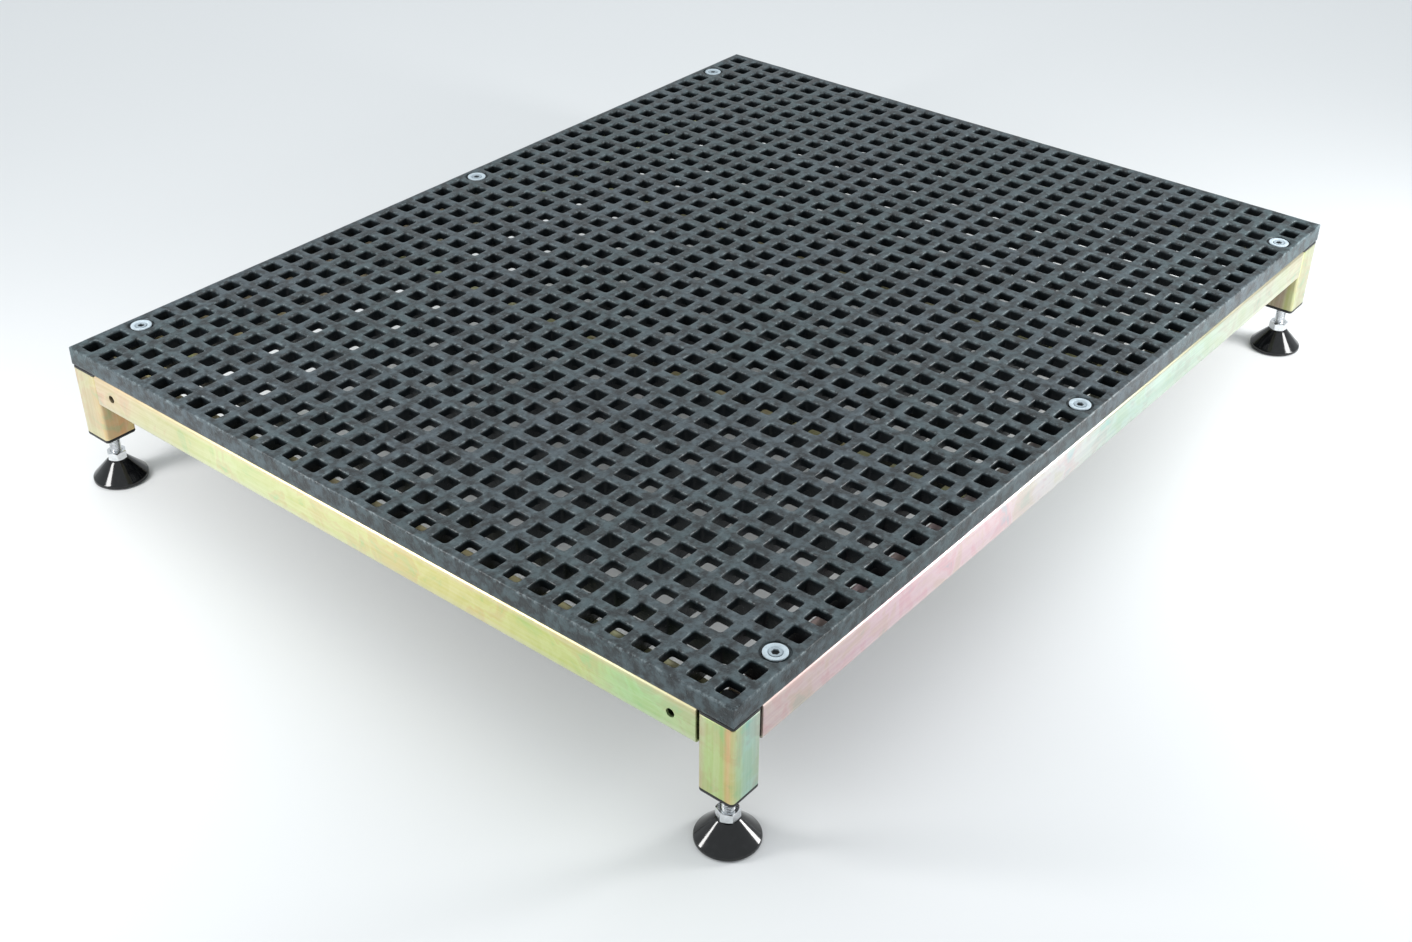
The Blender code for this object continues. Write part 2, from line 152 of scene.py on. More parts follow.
def grating_plastic():
    """Dark blue-grey glass-fibre plastic: mottled and pitted, paler on worn rib edges and pale fibre specks
    that both carry painted glints, with painted shade down the hole walls.
    """
    made = Nodes("moulded_grating_plastic")
    place = made.place()
    broad = made.noise(place, 9.0, 2.0)
    mottle = made.noise(place, 140.0, 4.0, 0.6)
    grain = made.noise(place, 900.0, 3.0, 0.6)
    dark, pale = display(21, 29, 32), display(67, 82, 86)
    base = made.ramp(made.remap(mottle, 0.36, 0.66), [(0.0, dark), (1.0, pale)])
    warmer = made.mix(1.0, base, (1.12, 1.0, 1.06), "MULTIPLY")
    patchy = made.mix(made.remap(broad, 0.40, 0.62), base, warmer)
    # Paler rib edges: partly real wear, partly a painted glint on the rounded edges.
    edge = made.add("ShaderNodeAttribute", attribute_name="edge").outputs["Fac"]
    broken = made.remap(made.noise(place, 260.0, 3.0, 0.7), 0.47, 0.66)
    worn_edge_and_glint = made.math("MULTIPLY", edge, made.math("MULTIPLY", broken, 0.80))
    edged = made.mix(worn_edge_and_glint, patchy, display(122, 135, 139))
    # Pale glass-fibre specks, partly painted glints.
    fibre_specks_and_glints = made.remap(made.noise(place, 1300.0, 2.0, 0.8), 0.66, 0.76)
    specked = made.mix(made.math("MULTIPLY", fibre_specks_and_glints, 0.45), edged, display(136, 146, 152))
    cells = made.add("ShaderNodeTexVoronoi", {"Vector": place, "Scale": 330.0}).outputs["Distance"]
    open_pit = made.remap(cells, 0.05, 0.24, 1.0, 0.0)
    coloured = made.mix(made.math("MULTIPLY", open_pit, 0.5), specked, display(16, 19, 22))
    # Painted shade: the hole walls darken from just under the deck's top downwards, but not on the outer side
    # faces.
    depth = made.remap(made.axis(place, "Z"), DECK - 2.5 * MM, DECK - 0.7 * MM, 1.0, 0.0)
    for axis, half in (("X", GRATING_HIGH.x), ("Y", GRATING_HIGH.y)):
        offset = made.math("ABSOLUTE", made.axis(place, axis))
        depth = made.math("MULTIPLY", depth, made.math("LESS_THAN", offset, half - 1.0 * MM))
    with_painted_hole_shade = made.mix(depth, coloured, display(20, 25, 28))
    made.set(Base_Color=with_painted_hole_shade, Roughness=made.remap(mottle, 0.3, 0.7, 0.34, 0.50))
    rough = made.bump(grain, 0.40, 0.00030)
    waves = made.bump(mottle, 0.55, 0.0009, rough)
    made.set(Normal=made.bump(made.math("SUBTRACT", 1.0, open_pit), 0.5, 0.0004, waves))
    made.set(Specular_IOR_Level=made.remap(depth, 0.0, 1.0, 0.5, 0.15))
    return made.material


def zinc_plating(name, grain_axis, direction, stops, painted_top_highlight_amount=0.5, painted_foot_reflection_amount=0.6, painted_shade_from=None):
    """Yellow passivated zinc. Its tint follows (metres, colour) stops, read along the direction.

    From a given point along the rail, its upper edge gets a dull tan painted shade. A painted highlight tint
    runs along its top and a painted floor reflection along its foot.
    """
    made = Nodes(name)
    place = made.place()
    coarse = {"X": (3.0, 26.0, 26.0), "Y": (26.0, 3.0, 26.0), "Z": (60.0, 60.0, 9.0)}[grain_axis]
    fine = tuple(12.0 if name == grain_axis else 420.0 for name in "XYZ")
    wander = made.noise(made.scaled(place, coarse), 1.0, 3.0, 0.55, 0.4)
    projected = made.add("ShaderNodeVectorMath", {0: place, 1: direction}, operation="DOT_PRODUCT")
    along = projected.outputs["Value"]
    low, high = stops[0][0], stops[-1][0]
    shift = made.remap(wander, 0.25, 0.75, -0.07, 0.07)
    share = made.math("ADD", made.remap(along, low, high), shift)
    tint = made.ramp(share, [((at - low) / (high - low), display(*colour)) for at, colour in stops])
    streaks = made.noise(made.scaled(place, fine), 1.0, 3.0, 0.6)
    cloud = made.noise(place, 38.0, 4.0, 0.6, 0.6)
    film = made.ramp(made.remap(cloud, 0.30, 0.70), [
        (0.00, display(216, 236, 206)), (0.26, display(246, 242, 214)), (0.50, display(255, 252, 242)),
        (0.72, display(252, 230, 222)), (1.00, display(212, 238, 232))])
    tinted = made.mix(0.70, tint, film, "MULTIPLY")
    height = made.axis(place, "Z")
    # Painted highlight: a warm tan band along the rail's upper edge stands for the tint of its lit top.
    painted_top_highlight = made.remap(height, RAIL_TOP - 6 * MM, RAIL_TOP - 0.5 * MM, 0.0, painted_top_highlight_amount, smooth=True)
    painted_top_edge = made.mix(painted_top_highlight, tinted, display(216, 194, 158))
    # Painted shade: a dull tan on the upper edge of the rail's far part, which also tones down the lamp's
    # highlight there.
    if painted_shade_from is not None:
        far_enough = made.remap(along, painted_shade_from, painted_shade_from + 0.14, 0.0, 0.85, smooth=True)
        at_edge = made.remap(height, RAIL_TOP - 3.2 * MM, RAIL_TOP - 1.6 * MM)
        painted_top_edge = made.mix(made.math("MULTIPLY", far_enough, at_edge), painted_top_edge, display(112, 105, 80))
    # Painted reflection of the pale floor: a pale grey band along the rail's foot.
    painted_foot_reflection = made.remap(
        height, RAIL_BOTTOM + 0.5 * MM, RAIL_BOTTOM + 7 * MM, painted_foot_reflection_amount, 0.0, smooth=True)
    with_painted_foot_reflection = made.mix(painted_foot_reflection, painted_top_edge, display(214, 216, 202))
    streaked = made.mix(made.remap(streaks, 0.35, 0.65, 0.0, 0.16), with_painted_foot_reflection, display(250, 246, 228))
    spots = made.remap(made.noise(place, 800.0, 2.0, 0.7), 0.68, 0.80, 0.0, 0.30)
    made.set(Base_Color=made.mix(spots, streaked, display(150, 138, 96)), Metallic=0.82)
    made.set(Roughness=made.remap(cloud, 0.3, 0.7, 0.34, 0.48))
    ridged = made.bump(streaks, 0.10, 0.0002)
    made.set(Normal=made.bump(made.noise(place, 160.0, 2.0), 0.10, 0.0005, ridged))
    return made.material


def bright_zinc(name, colour, roughness, metallic=1.0, dark_below=None):
    """Bright plated steel with faint dull patches and turning marks, with painted shade below a given height.
    """
    made = Nodes(name)
    place = made.place()
    patches = made.noise(place, 300.0, 3.0, 0.6)
    marks = made.noise(place, 1080.0, 3.0, 0.6)
    dull = tuple(channel * 0.80 for channel in colour)
    plated = made.mix(made.remap(patches, 0.42, 0.72), colour, dull)
    if dark_below is not None:
        # Painted shade: darker below the given height, down in the screw's socket.
        painted_socket_shade = made.remap(made.axis(place, "Z"), dark_below - 1.4 * MM, dark_below, 1.0, 0.0)
        plated = made.mix(painted_socket_shade, plated, display(20, 24, 28))
    made.set(Base_Color=plated, Metallic=metallic)
    made.set(Roughness=made.remap(marks, 0.3, 0.7, roughness * 0.8, roughness * 1.5))
    made.set(Normal=made.bump(marks, 0.12, 0.0001))
    return made.material


def moulded_plastic(name, colour, roughness, grain_scale, grain_depth):
    """Black moulded plastic or rubber: fine grain, faint dust and scuffs."""
    made = Nodes(name)
    place = made.place()
    dust = made.noise(place, 240.0, 4.0, 0.65)
    grain = made.noise(place, grain_scale, 2.0, 0.6)
    dusty = tuple(channel * 1.9 + 0.004 for channel in colour)
    made.set(Base_Color=made.mix(made.remap(dust, 0.50, 0.78), colour, dusty))
    made.set(Roughness=made.remap(dust, 0.35, 0.75, roughness * 0.85, min(1.0, roughness * 1.5)))
    made.set(Normal=made.bump(grain, 0.25, grain_depth), Specular_IOR_Level=0.5)
    return made.material


def floor_paint():
    """Matt pale table top with a faint unevenness."""
    made = Nodes("studio_floor")
    soft = made.noise(made.place(), 1.2, 2.0)
    made.set(Base_Color=made.mix(soft, (0.79, 0.80, 0.81), (0.82, 0.83, 0.84)), Roughness=0.60)
    made.set(Specular_IOR_Level=0.2)
    return made.material


# Mesh helpers

def object_from(name, builder):
    """Turn a bmesh into an object in the scene."""
    mesh = bpy.data.meshes.new(name)
    builder.to_mesh(mesh)
    builder.free()
    made = bpy.data.objects.new(name, mesh)
    bpy.context.scene.collection.objects.link(made)
    return made


def piece_from(name, builder, finish, body, node, sharp_angle=40):
    """Turn a bmesh into a piece that stands for one CAD node and rides on its body."""
    bmesh.ops.remove_doubles(builder, verts=builder.verts, dist=1e-7)
    bmesh.ops.recalc_face_normals(builder, faces=builder.faces)
    piece = object_from(name, builder)
    piece.data.shade_smooth()
    piece.data.set_sharp_from_angle(angle=math.radians(sharp_angle))
    piece.data.materials.append(finish)
    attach(piece, body)
    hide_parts(node)
    return piece


def skin(builder, loops, closed):
    """Join equal loops with quads. Closed joins the last to the first, else the ends are capped."""
    rings = [[builder.verts.new(point) for point in loop] for loop in loops]
    pairs = list(zip(rings, rings[1:]))
    if closed:
        pairs.append((rings[-1], rings[0]))
    for lower, upper in pairs:
        count = len(lower)
        for index in range(count):
            after = (index + 1) % count
            builder.faces.new((lower[index], lower[after], upper[after], upper[index]))
    if not closed:
        builder.faces.new(rings[0])
        builder.faces.new(rings[-1])
    return rings


def round_loop(centre, radius, z, count, start=0.0):
    """Points of a level circle, anticlockwise from the start angle, which is 0 at the +X side."""
    turns = [start + 2 * math.pi * index / count for index in range(count)]
    return [(centre.x + radius * math.cos(turn), centre.y + radius * math.sin(turn), z) for turn in turns]


def square_loop(half, corner, steps):
    """Points of a rounded square in its own plane, anticlockwise from the +X side."""
    points = []
    for quarter in range(4):
        middle = math.pi / 2 * quarter + math.pi / 4
        centre_x = (half - corner) * math.copysign(1, math.cos(middle))
        centre_y = (half - corner) * math.copysign(1, math.sin(middle))
        for step in range(steps + 1):
            angle = math.pi / 2 * (quarter + step / steps)
            points.append((centre_x + corner * math.cos(angle), centre_y + corner * math.sin(angle)))
    return points


def rounded(profile, radius, steps=4):
    """Round every corner of an open (radius, height) profile, except its two ends."""
    made = [profile[0]]
    for before, corner, after in zip(profile, profile[1:], profile[2:]):
        corner_v, before_v, after_v = Vector(corner), Vector(before), Vector(after)
        reach = min(radius, (before_v - corner_v).length * 0.45, (after_v - corner_v).length * 0.45)
        start = corner_v + (before_v - corner_v).normalized() * reach
        end = corner_v + (after_v - corner_v).normalized() * reach
        for step in range(steps + 1):
            share = step / steps
            point = start * (1 - share) ** 2 + corner_v * (2 * share * (1 - share)) + end * share ** 2
            made.append((point.x, point.y))
    made.append(profile[-1])
    return made


def middle_of(node):
    """The middle of a CAD node's box."""
    low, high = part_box(node)
    return (low + high) / 2


def turned(builder, centre, profile, count, closed=False):
    """Turn a (radius, height) profile round the upright line through the centre."""
    skin(builder, [round_loop(centre, radius, z, count) for radius, z in profile], closed)


# Grating

CROWN_DROP = 0.10 * MM
UNDER_RIB = -8.2 * MM
SIDE_POINT = 5 * MM
# Hole outline at each height: half width, corner radius, height below the deck, edge wear with its painted
# glint
HOLE_LOOPS = (
    (7.20 * MM, 2.3 * MM, -0.17 * MM, 0.45),
    (6.72 * MM, 2.0 * MM, -0.42 * MM, 1.00),
    (6.45 * MM, 1.8 * MM, -1.05 * MM, 0.60),
    (6.75 * MM, 1.8 * MM, -7.00 * MM, 0.00),
)
BAY_HALF_BOTTOM = 17.3 * MM
BAY_CORNER_BOTTOM = 2.6 * MM
SEAT_RADIUS = 9.7 * MM
SEAT_DEPTH = 1.6 * MM
# Signs of the quarters of a square, anticlockwise
QUARTERS = ((1, 1), (-1, 1), (-1, -1), (1, -1))


class GratingMesh:
    """Collects the grating's vertices and faces, with one number for each vertex for edge wear and its
    painted glint.
    """

    def __init__(self):
        self.builder = bmesh.new()
        self.wear_and_glint = self.builder.verts.layers.float.new("edge")

    def loop(self, points, wear_and_glint=0.0):
        made = []
        for point in points:
            vertex = self.builder.verts.new(point)
            vertex[self.wear_and_glint] = wear_and_glint
            made.append(vertex)
        return made

    def ring(self, outer, inner):
        for index in range(len(outer)):
            after = (index + 1) % len(outer)
            self.face(outer[index], outer[after], inner[after], inner[index])

    def face(self, *corners):
        self.builder.faces.new(corners)

    def stitch(self, outer, inner, centre):
        """Fill between two loops of different counts round one centre with triangles."""
        def turn(vertex):
            return math.atan2(vertex.co.y - centre.y, vertex.co.x - centre.x) % (2 * math.pi)
        outer = sorted(outer, key=turn)
        inner = sorted(inner, key=turn)
        a = b = 0
        while a < len(outer) or b < len(inner):
            here_a, here_b = outer[a % len(outer)], inner[b % len(inner)]
            next_a = turn(outer[(a + 1) % len(outer)]) + (2 * math.pi if a + 1 >= len(outer) else 0)
            next_b = turn(inner[(b + 1) % len(inner)]) + (2 * math.pi if b + 1 >= len(inner) else 0)
            if b >= len(inner) or (a < len(outer) and next_a <= next_b):
                self.face(here_a, outer[(a + 1) % len(outer)], here_b)
                a += 1
            else:
                self.face(here_a, inner[(b + 1) % len(inner)], here_b)
                b += 1


def shifted(points, centre, z):
    """Flat points moved to the centre, at a height counted from the deck's top."""
    return [(centre.x + x, centre.y + y, DECK + z) for x, y in points]


def side_point(quarter, which, half, off):
    """A point on the first (0) or second (1) side of a square's quarter, off the side's middle."""
    sign_x, sign_y = QUARTERS[quarter]
    if (quarter + which) % 2 == 0:
        return (sign_x * half, sign_y * off)
    return (sign_x * off, sign_y * half)


def add_cell(grating, centre, has_seat):
    """The top of one 20 mm cell and the upper walls of its hole. Returns the lowest loop."""
    side = CELL / 2
    outline = []
    for quarter, (sign_x, sign_y) in enumerate(QUARTERS):
        outline += [side_point(quarter, 0, side, SIDE_POINT), (sign_x * side, sign_y * side),
                    side_point(quarter, 1, side, SIDE_POINT)]
    outer = grating.loop(shifted(outline, centre, -CROWN_DROP), 0.08)
    loops = HOLE_LOOPS
    if has_seat:
        circle = [(math.cos(turn), math.sin(turn)) for turn in [math.pi * n / 18 for n in range(36)]]
        for radius, z, wear_and_glint in (
            (SEAT_RADIUS, -CROWN_DROP - 0.02 * MM, 0.2),
            (SEAT_RADIUS - 0.15 * MM, -0.35 * MM, 0.9),
            (SEAT_RADIUS - 0.20 * MM, -SEAT_DEPTH + 0.25 * MM, 0.1),
            (SEAT_RADIUS - 0.45 * MM, -SEAT_DEPTH, 0.0),
        ):
            inner = grating.loop(shifted([(x * radius, y * radius) for x, y in circle], centre, z), wear_and_glint)
            if len(outer) == len(inner):
                grating.ring(outer, inner)
            else:
                grating.stitch(outer, inner, centre)
            outer = inner
        half, corner, _, _ = HOLE_LOOPS[2]
        rim = grating.loop(shifted(square_loop(half, corner, 2), centre, -SEAT_DEPTH))
        grating.stitch(outer, rim, centre)
        outer = rim
        loops = HOLE_LOOPS[3:]
    for half, corner, z, wear_and_glint in loops:
        inner = grating.loop(shifted(square_loop(half, corner, 2), centre, z), wear_and_glint)
        grating.ring(outer, inner)
        outer = inner
    return outer


def add_bay(grating, centre, seats):
    """Four cells inside a frame of deep bars, parted by a cross of fine ribs."""
    side = CELL / 2
    cells = []
    for sign_x, sign_y in QUARTERS:
        middle = Vector((centre.x + sign_x * side, centre.y + sign_y * side, 0))
        seat = any((middle - place).length < side / 2 for place in seats)
        cells.append(add_cell(grating, middle, seat))

    def lower(quarter, index):
        return cells[quarter % 4][(3 * (quarter % 4) + index) % 12]

    def flat(vertex):
        return Vector((vertex.co.x - centre.x, vertex.co.y - centre.y))

    under = DECK + UNDER_RIB
    bottom = DECK - THICKNESS
    hub = grating.loop([(centre.x, centre.y, under)])[0]
    directions = (Vector((0, 1)), Vector((-1, 0)), Vector((0, -1)), Vector((1, 0)))
    ridge_wall, ridge_hub, ridge_end = [], [], []
    for quarter, direction in enumerate(directions):
        for store, index in ((ridge_end, 3), (ridge_wall, 5), (ridge_hub, 6)):
            reach = flat(lower(quarter, index)).dot(direction)
            spot = (centre.x + direction.x * reach, centre.y + direction.y * reach, under)
            store.append(grating.loop([spot])[0])

    floor_inner, floor_outer = [], []
    corner_points = square_loop(BAY_HALF_BOTTOM, BAY_CORNER_BOTTOM, 2)
    for quarter, (sign_x, sign_y) in enumerate(QUARTERS):
        direction = directions[quarter]
        inner = [side_point(quarter, 0, BAY_HALF_BOTTOM, SIDE_POINT),
                 *corner_points[3 * quarter:3 * quarter + 3],
                 side_point(quarter, 1, BAY_HALF_BOTTOM, SIDE_POINT),
                 (direction.x * BAY_HALF_BOTTOM, direction.y * BAY_HALF_BOTTOM)]
        outer = [side_point(quarter, 0, CELL, SIDE_POINT), side_point(quarter, 0, CELL, 3 * SIDE_POINT),
                 (sign_x * CELL, sign_y * CELL), side_point(quarter, 1, CELL, 3 * SIDE_POINT),
                 side_point(quarter, 1, CELL, SIDE_POINT), (direction.x * CELL, direction.y * CELL)]
        floor_inner += grating.loop(shifted(inner, centre, -THICKNESS))
        floor_outer += grating.loop(shifted(outer, centre, -THICKNESS))
    grating.ring(floor_outer, floor_inner)

    for quarter in range(4):
        here = [lower(quarter, index) for index in range(12)]
        there = [lower(quarter + 1, index) for index in range(12)]
        chain = [here[-1], *here[:4]]
        base = floor_inner[6 * quarter:6 * quarter + 6]
        for index in range(4):
            grating.face(chain[index], chain[index + 1], base[index + 1], base[index])
        end, wall, near_hub = ridge_end[quarter], ridge_wall[quarter], ridge_hub[quarter]
        grating.face(here[3], end, base[5], base[4])
        grating.face(end, there[11], floor_inner[(6 * quarter + 6) % 24], base[5])
        grating.face(here[3], here[4], wall, end)
        grating.face(here[4], here[5], wall)
        grating.face(there[11], end, wall, there[10])
        grating.face(there[10], wall, there[9])
        grating.face(here[5], here[6], near_hub, wall)
        grating.face(there[8], there[9], wall, near_hub)
        grating.face(here[6], here[7], hub, near_hub)
        grating.face(here[7], here[8], ridge_hub[quarter - 1], hub)


def add_rim(grating):
    """The outer strip, side faces and bottom edge all round the grating."""
    half_x, half_y = CELLS_LONG * CELL / 2, CELLS_SHORT * CELL / 2

    def stations(cells, half):
        places = []
        for index in range(cells):
            start = -half + index * CELL
            places += [start, start + SIDE_POINT, start + CELL - SIDE_POINT]
        return places

    side = EDGE_MARGIN - 0.04 * MM
    profile = (
        (0.0, -CROWN_DROP, 0.08), (EDGE_MARGIN - 1.0 * MM, -CROWN_DROP, 0.3),
        (EDGE_MARGIN - 0.35 * MM, -0.28 * MM, 1.0), (side, -0.95 * MM, 0.9), (side, -3.0 * MM, 0.05),
        (side, -THICKNESS + 2.5 * MM, 0.05), (side, -THICKNESS + 0.6 * MM, 0.4),
        (EDGE_MARGIN - 0.6 * MM, -THICKNESS, 0.1), (0.0, -THICKNESS, 0.0),
    )
    loops = []
    for out, z, wear_and_glint in profile:
        wide, deep = half_x + out, half_y + out
        xs = [-wide if index == 0 else x for index, x in enumerate(stations(CELLS_LONG, half_x))]
        ys = [-deep if index == 0 else y for index, y in enumerate(stations(CELLS_SHORT, half_y))]
        points = [(x, -deep) for x in xs] + [(wide, y) for y in ys]
        points += [(-x, deep) for x in xs] + [(-wide, -y) for y in ys]
        loops.append(grating.loop([(x, y, DECK + z) for x, y in points], wear_and_glint))
    for outer, inner in zip(loops, loops[1:]):
        grating.ring(outer, inner)


def roughen(builder):
    """Small unevenness of the moulding, kept inside the grating's box."""
    for vertex in builder.verts:
        place = vertex.co
        if place.z > DECK - 2 * MM:
            swell = noise.noise(place * 95.0) * 0.11 * MM + noise.noise(place * 330.0) * 0.05 * MM
            place.z = min(place.z + swell, DECK)
        sway_x = noise.noise(place * 120.0 + Vector((7.0, 0.0, 0.0))) * 0.16 * MM
        sway_y = noise.noise(place * 120.0 + Vector((0.0, 9.0, 0.0))) * 0.16 * MM
        place.x = min(max(place.x + sway_x, GRATING_LOW.x), GRATING_HIGH.x)
        place.y = min(max(place.y + sway_y, GRATING_LOW.y), GRATING_HIGH.y)


def make_grating(finish):
    """All bays of the mesh, the outer rim, and the round seats of the six fixings."""
    grating = GratingMesh()
    seats = [middle_of(f"deck_washer_{number}") for number in FIXINGS]
    seats = [Vector((seat.x, seat.y, 0)) for seat in seats]
    for bay_x in range(CELLS_LONG // 2):
        for bay_y in range(CELLS_SHORT // 2):
            x = -CELLS_LONG * CELL / 2 + (2 * bay_x + 1) * CELL
            y = -CELLS_SHORT * CELL / 2 + (2 * bay_y + 1) * CELL
            add_bay(grating, Vector((x, y, 0)), seats)
    add_rim(grating)
    bmesh.ops.remove_doubles(grating.builder, verts=grating.builder.verts, dist=1e-6)
    roughen(grating.builder)
    piece_from("moulded_grating", grating.builder, finish, "platform", "grating", 62)


# Tube frame

TUBE_WALL = 1.5 * MM
TUBE_CORNER = 2.5 * MM
CORNER_STEPS = 7
LONG_AXIS = {"x": 0, "y": 1, "z": 2}


def tube_point(axis, along, across, centre):
    """A point of a tube that runs along the axis; across is its (first, second) place."""
    if axis == "x":
        return (along, centre.y + across[0], centre.z + across[1])
    if axis == "y":
        return (centre.x + across[0], along, centre.z + across[1])
    return (centre.x + across[0], centre.y + across[1], along)


def add_tube(builder, node, axis, cuts):
    """A square tube in the node's box, open at both ends, with rings at the cuts along it."""
    low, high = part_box(node)
    index = LONG_AXIS[axis]
    start, stop = low[index], high[index]
    centre = (low + high) / 2
    half = min(high[n] - low[n] for n in range(3) if n != index) / 2
    outer = square_loop(half, TUBE_CORNER, CORNER_STEPS)
    burr = square_loop(half - 0.25 * MM, TUBE_CORNER, CORNER_STEPS)
    inner = square_loop(half - TUBE_WALL, TUBE_CORNER - TUBE_WALL, CORNER_STEPS)
    stations = [start + 0.25 * MM, *[start + (stop - start) * cut for cut in cuts], stop - 0.25 * MM]

    def loop(shape, along):
        return [tube_point(axis, along, across, centre) for across in shape]

    loops = [loop(burr, start), *[loop(outer, along) for along in stations], loop(burr, stop)]
    skin(builder, loops + [loop(inner, stop), loop(inner, start)], closed=True)


def add_bead(builder, start, end, push, radius, seed):
    """A rippled weld bead from start to end, bulging towards push."""
    start, end, push = Vector(start), Vector(end), Vector(push).normalized()
    length = (end - start).length
    along = (end - start).normalized()
    side = along.cross(push)
    rings = max(8, round(length / (0.7 * MM)))
    loops = []
    for ring in range(rings + 1):
        share = ring / rings
        ripple = 1 + 0.10 * math.sin(share * length / (1.5 * MM) * 2 * math.pi + seed)
        ends = min(1.0, 6 * share, 6 * (1 - share)) * 0.8 + 0.2
        size = radius * ripple * ends * (1 + 0.08 * noise.noise(Vector((seed, share * 9, 0))))
        middle = start + along * length * share
        loop = []
        for step in range(10):
            turn = 2 * math.pi * step / 10
            loop.append(middle + push * size * math.cos(turn) + side * size * math.sin(turn))
        loops.append(loop)
    skin(builder, loops, closed=False)


def cut_holes(piece, spots, radius, direction, depth):
    """Drill round holes into a piece and apply them."""
    drill = bmesh.new()
    direction = Vector(direction)
    turn = direction.to_track_quat("Z", "Y").to_matrix().to_4x4()
    for spot in spots:
        made = bmesh.ops.create_cone(
            drill, cap_ends=True, segments=40, radius1=radius, radius2=radius, depth=depth)
        bmesh.ops.transform(drill, matrix=Matrix.Translation(spot) @ turn, verts=made["verts"])
    tool = object_from(piece.name + "_drill", drill)
    change = piece.modifiers.new("holes", "BOOLEAN")
    change.operation = "DIFFERENCE"
    change.solver = "EXACT"
    change.object = tool
    bpy.context.view_layer.update()
    evaluated = piece.evaluated_get(bpy.context.evaluated_depsgraph_get())
    drilled = bpy.data.meshes.new_from_object(evaluated)
    piece.modifiers.clear()
    piece.data = drilled
    drilled.shade_smooth()
    drilled.set_sharp_from_angle(angle=math.radians(35))
    bpy.data.objects.remove(tool, do_unlink=True)


VENT_RADIUS = 3.0 * MM
VENT_FROM_END = 18 * MM
RIVET_HOLE = 3.7 * MM
DRILL_DEPTH = 6 * MM
BEAD = 1.3 * MM
BEAD_INSET = 3.0 * MM
BEAD_FROM_END = 0.7 * MM


def end_welds(builder, node, axis, faces):
    """Beads across both ends of a tube: one on each face, of (side, seed factor, seed shift).

    Side 0 is the underside, and side -1 or 1 is the upright face towards that end of the cross axis.
    """
    low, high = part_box(node)
    index = LONG_AXIS[axis]
    centre = (low + high) / 2
    half = (high.z - low.z) / 2
    reach = half - BEAD_INSET
    for place, outward in ((low[index], -1), (high[index], 1)):
        at = place - outward * BEAD_FROM_END
        for side, seed_factor, seed_shift in faces:
            if side == 0:
                spots = ((-reach, -half), (reach, -half))
                push = (0, 0, -1)
            else:
                spots = ((side * half, -reach), (side * half, reach))
                push = (0, side, 0) if axis == "x" else (side, 0, 0)
            first, last = [tube_point(axis, at, spot, centre) for spot in spots]
            add_bead(builder, first, last, push, BEAD, place * seed_factor + seed_shift)


def make_frame(finishes):
    """Rails with their holes, cross-members and legs, and the welds between them."""
    cuts = [step / 8 for step in range(1, 8)]
    for node, axis, inward in (
        ("front_rail", "x", 1), ("rear_rail", "x", -1), ("left_rail", "y", 1), ("right_rail", "y", -1),
    ):
        builder = bmesh.new()
        add_tube(builder, node, axis, cuts)
        end_welds(builder, node, axis, ((0, 90, 0), (inward, 70, 1)))
        rail = piece_from("tube_" + node, builder, finishes[node], "platform", node)
        low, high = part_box(node)
        centre = (low + high) / 2
        if axis == "y":
            outside = low.x if inward > 0 else high.x
            spots = [Vector((outside, y, centre.z)) for y in (low.y + VENT_FROM_END, high.y - VENT_FROM_END)]
            cut_holes(rail, spots, VENT_RADIUS, (1, 0, 0), DRILL_DEPTH)
        else:
            spots = []
            for number in FIXINGS:
                washer = middle_of(f"deck_washer_{number}")
                if abs(washer.y - centre.y) < 5 * MM:
                    spots.append(Vector((washer.x, washer.y, high.z)))
            cut_holes(rail, spots, RIVET_HOLE, (0, 0, 1), DRILL_DEPTH)
    for side in ("left", "right"):
        node = "cross_member_" + side
        builder = bmesh.new()
        add_tube(builder, node, "y", cuts)
        end_welds(builder, node, "y", ((-1, 50, -1), (1, 50, 1)))
        piece_from("tube_" + node, builder, finishes["cross"], "platform", node)
    for corner in CORNERS:
        node = "leg_" + corner
        builder = bmesh.new()
        add_tube(builder, node, "z", [0.25, 0.5, 0.75])
        piece_from("tube_" + node, builder, finishes[node], "platform", node)


PLUG_TAPER = 0.6 * MM
PLUG_TAPER_LENGTH = 1.0 * MM
PLUG_CORNER = 1.0 * MM


def leg_square(centre, half, corner_radius, z):
    """A rounded square round the middle line of a leg, at one height."""
    return [(centre.x + x, centre.y + y, z) for x, y in square_loop(half, corner_radius, CORNER_STEPS)]


def leg_circle(centre, radius, z):
    """A circle with as many points as a leg_square, turned so that they line up."""
    count = 4 * (CORNER_STEPS + 1)
    return round_loop(centre, radius, z, count, start=math.pi / count)


def make_leg_cap(corner, finish):
    """Flat cap on top of a leg, with a short plug inside the tube."""
    low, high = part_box("leg_cap_" + corner)
    leg_low, leg_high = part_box("leg_" + corner)
    centre = (leg_low + leg_high) / 2
    half = (leg_high.x - leg_low.x) / 2
    plug = half - TUBE_WALL - GAP
    edge = leg_high.z + GAP
    steps = (
        (plug - PLUG_TAPER, PLUG_CORNER, low.z), (plug, PLUG_CORNER, low.z + PLUG_TAPER_LENGTH),
        (plug, PLUG_CORNER, edge), (half - 0.15 * MM, TUBE_CORNER, edge),
        (half, TUBE_CORNER, edge + 0.2 * MM), (half, TUBE_CORNER, high.z - 0.5 * MM),
        (half - 0.2 * MM, TUBE_CORNER, high.z - 0.15 * MM), (half - 0.5 * MM, TUBE_CORNER, high.z),
    )
    builder = bmesh.new()
    skin(builder, [leg_square(centre, *step) for step in steps], closed=False)
    piece_from("cap_" + corner, builder, finish, "platform", "leg_cap_" + corner)


